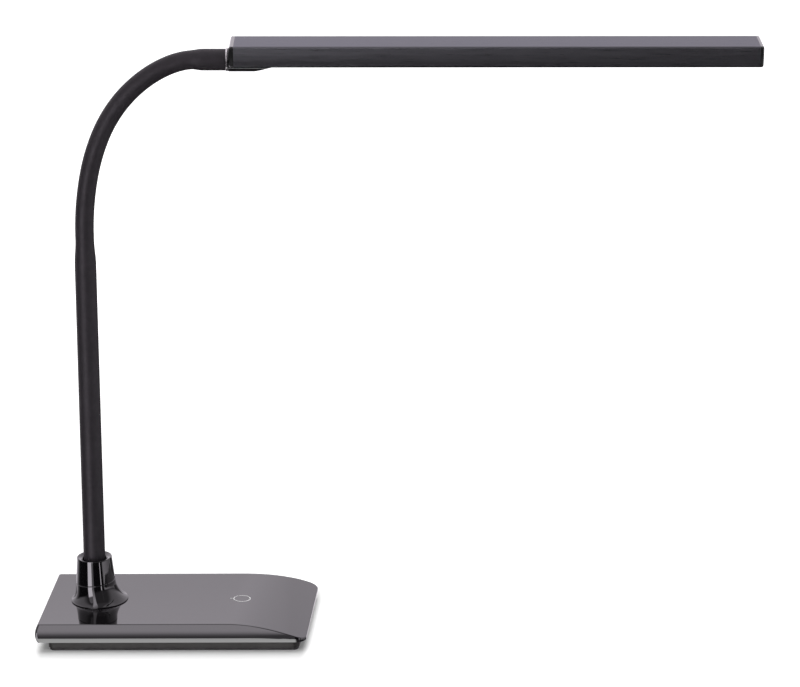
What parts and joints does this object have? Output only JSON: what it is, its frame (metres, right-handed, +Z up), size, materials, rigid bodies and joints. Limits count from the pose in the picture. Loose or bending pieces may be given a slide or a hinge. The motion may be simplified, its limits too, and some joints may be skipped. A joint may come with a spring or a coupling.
{
  "type": "gooseneck desk lamp",
  "caption": "Desk lamp with a flat weighted base, a flared collar, a bendable gooseneck and a long slim swivelling light bar.",
  "frame": {"origin": "on the underside, below the foot of the neck", "axes": "+X from the neck towards the nose of the base, the way the head reaches; +Z up"},
  "size_m": [0.5246, 0.1094, 0.4332],
  "materials": {
    "shell": "gloss",
    "collar": "gloss",
    "plinth": "matte",
    "pad": "matte",
    "ballast": "matte",
    "steel": "satin",
    "mark": "gloss",
    "foil": "satin",
    "board": "satin",
    "parts": "matte",
    "socket": "matte",
    "lead": "satin",
    "neck_rubber": "satin",
    "bush": "satin",
    "bracket": "gloss",
    "cap": "gloss",
    "anodised": "satin",
    "emitter": "satin",
    "diffuser": "satin"
  },
  "bodies": {
    "base": {"base_shell": "shell", "touch_ring": "mark", "touch_electrode": "foil", "bottom_cover": "plinth", "anti_slip_pad": "pad", "ballast_plate": "ballast", "cover_screws": "steel", "control_board": "board", "board_screws": "steel", "board_parts": "parts", "inlet_socket": "socket", "inlet_pin": "steel", "supply_lead": "lead", "collar_flange": "collar", "collar_cup": "collar", "neck_bush": "bush"},
    "stem": {"neck_root": "steel", "root_washer": "steel", "root_nut": "steel", "stem_core": "steel", "stem_sleeve": "neck_rubber", "neck_cable": "lead"},
    "link_01": {"link_core_01": "steel", "link_sleeve_01": "neck_rubber"},
    "link_02": {"link_core_02": "steel", "link_sleeve_02": "neck_rubber"},
    "link_03": {"link_core_03": "steel", "link_sleeve_03": "neck_rubber"},
    "link_04": {"link_core_04": "steel", "link_sleeve_04": "neck_rubber"},
    "link_05": {"link_core_05": "steel", "link_sleeve_05": "neck_rubber"},
    "link_06": {"link_core_06": "steel", "link_sleeve_06": "neck_rubber"},
    "link_07": {"link_core_07": "steel", "link_sleeve_07": "neck_rubber"},
    "link_08": {"link_core_08": "steel", "link_sleeve_08": "neck_rubber"},
    "link_09": {"link_core_09": "steel", "link_sleeve_09": "neck_rubber"},
    "link_10": {"link_core_10": "steel", "link_sleeve_10": "neck_rubber"},
    "neck_end": {"end_core": "steel", "end_sleeve": "neck_rubber", "neck_ferrule": "steel", "head_spigot": "steel", "spigot_clip": "steel"},
    "head": {"head_bracket": "bracket", "inner_cap": "cap", "outer_cap": "cap", "cap_screws": "steel", "head_housing": "anodised", "led_board": "board", "led_chips": "emitter", "diffuser": "diffuser"}
  },
  "joints": [
    {"name": "neck_turn", "type": "hinge", "parent": "base", "child": "stem", "pos_m": [0, 0, 0.0199], "axis": [0, 0, 1], "range_deg": [-45, 45], "deforming": ["neck_cable"]},
    {"name": "bend_1", "type": "hinge", "parent": "stem", "child": "link_01", "pos_m": [0.00779, 0.00056, 0.3178], "axis": [-0.0715, 0.9974, 0], "range_deg": [-11.28, 4.4], "deforming": ["neck_cable"]},
    {"name": "sway_1", "type": "hinge", "parent": "link_01", "child": "link_02", "pos_m": [0.01152, 0.00083, 0.33922], "axis": [-0.9729, -0.0697, 0.2204], "range_deg": [-15, 15], "deforming": ["neck_cable"]},
    {"name": "bend_2", "type": "hinge", "parent": "link_02", "child": "link_03", "pos_m": [0.01546, 0.00111, 0.35342], "axis": [-0.0715, 0.9974, 0], "range_deg": [-11.28, 4.4], "deforming": ["neck_cable"]},
    {"name": "sway_2", "type": "hinge", "parent": "link_03", "child": "link_04", "pos_m": [0.02078, 0.00149, 0.36717], "axis": [-0.9111, -0.0653, 0.4069], "range_deg": [-15, 15], "deforming": ["neck_cable"]},
    {"name": "bend_3", "type": "hinge", "parent": "link_04", "child": "link_05", "pos_m": [0.02539, 0.00182, 0.37631], "axis": [-0.0715, 0.9974, 0], "range_deg": [-11.28, 4.4], "deforming": ["neck_cable"]},
    {"name": "bend_4", "type": "hinge", "parent": "link_05", "child": "link_06", "pos_m": [0.03673, 0.00263, 0.39243], "axis": [-0.0715, 0.9974, 0], "range_deg": [-11.28, 4.4], "deforming": ["neck_cable"]},
    {"name": "sway_3", "type": "hinge", "parent": "link_06", "child": "link_07", "pos_m": [0.04328, 0.0031, 0.39929], "axis": [-0.6856, -0.0491, 0.7263], "range_deg": [-15, 15], "deforming": ["neck_cable"]},
    {"name": "bend_5", "type": "hinge", "parent": "link_07", "child": "link_08", "pos_m": [0.05028, 0.0036, 0.40531], "axis": [-0.0715, 0.9974, 0], "range_deg": [-11.28, 4.4], "deforming": ["neck_cable"]},
    {"name": "bend_6", "type": "hinge", "parent": "link_08", "child": "link_09", "pos_m": [0.06457, 0.00463, 0.4144], "axis": [-0.0715, 0.9974, 0], "range_deg": [-11.28, 4.4], "deforming": ["neck_cable"]},
    {"name": "bend_7", "type": "hinge", "parent": "link_09", "child": "link_10", "pos_m": [0.07686, 0.00551, 0.41921], "axis": [-0.0715, 0.9974, 0], "range_deg": [-11.28, 4.4], "deforming": ["neck_cable"]},
    {"name": "bend_8", "type": "hinge", "parent": "link_10", "child": "neck_end", "pos_m": [0.08643, 0.00619, 0.42089], "axis": [-0.0715, 0.9974, 0], "range_deg": [-11.28, 4.4], "deforming": ["neck_cable"]},
    {"name": "head_turn", "type": "hinge", "parent": "neck_end", "child": "head", "pos_m": [0.1116, 0.008, 0.42035], "axis": [0.997, 0.0715, -0.0297], "range_deg": [-45, 45], "deforming": ["neck_cable"]}
  ]
}
